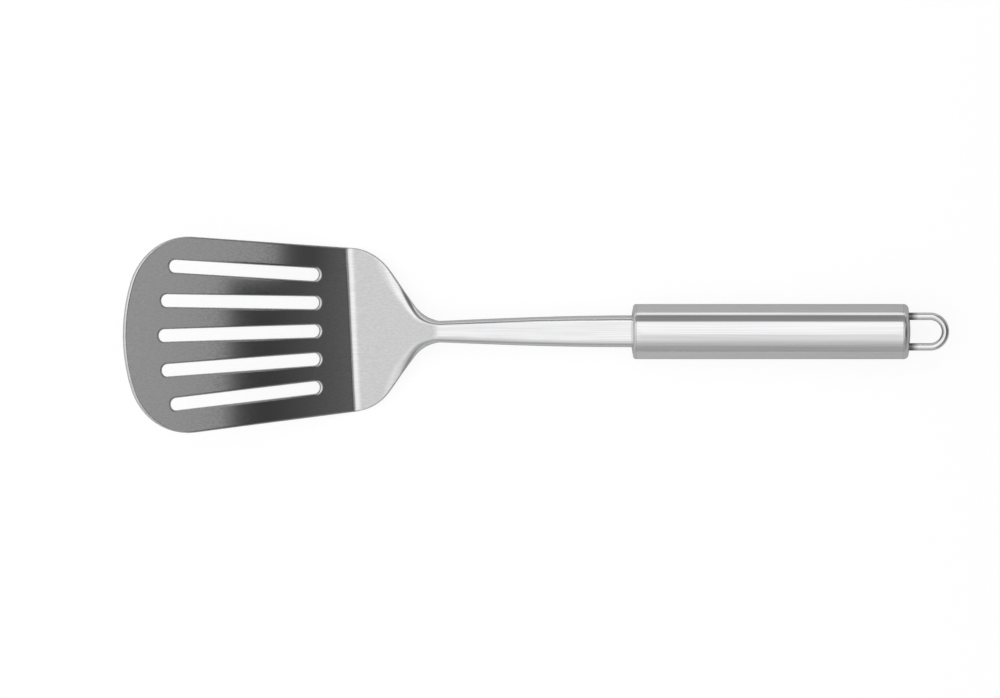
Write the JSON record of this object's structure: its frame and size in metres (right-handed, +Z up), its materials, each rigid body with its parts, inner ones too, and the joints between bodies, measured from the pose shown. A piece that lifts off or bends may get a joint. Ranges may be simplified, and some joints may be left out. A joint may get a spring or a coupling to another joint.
{
  "type": "fish spatula",
  "caption": "Slotted fish spatula pressed from steel sheet, with a bell shoulder, a channelled shank, a hollow capped handle and a wire hanging loop.",
  "frame": {"origin": "on the table that the tool lies on, under the middle of its length and width", "axes": "+X from the blade's tip to the hanging loop along the handle, +Y across the tool, +Z up out of the food side"},
  "size_m": [0.3288, 0.0781, 0.0434],
  "materials": {
    "blade_steel": "mirror-polished pressed sheet",
    "handle_steel": "brushed lengthwise, satin",
    "cap_steel": "satin polished pressed cap",
    "wire_steel": "drawn wire, polished"
  },
  "bodies": {
    "root": {"slotted_blade": "blade_steel", "front_cap": "cap_steel", "handle_tube": "handle_steel", "rear_cap": "cap_steel", "hanging_loop": "wire_steel"}
  },
  "joints": []
}
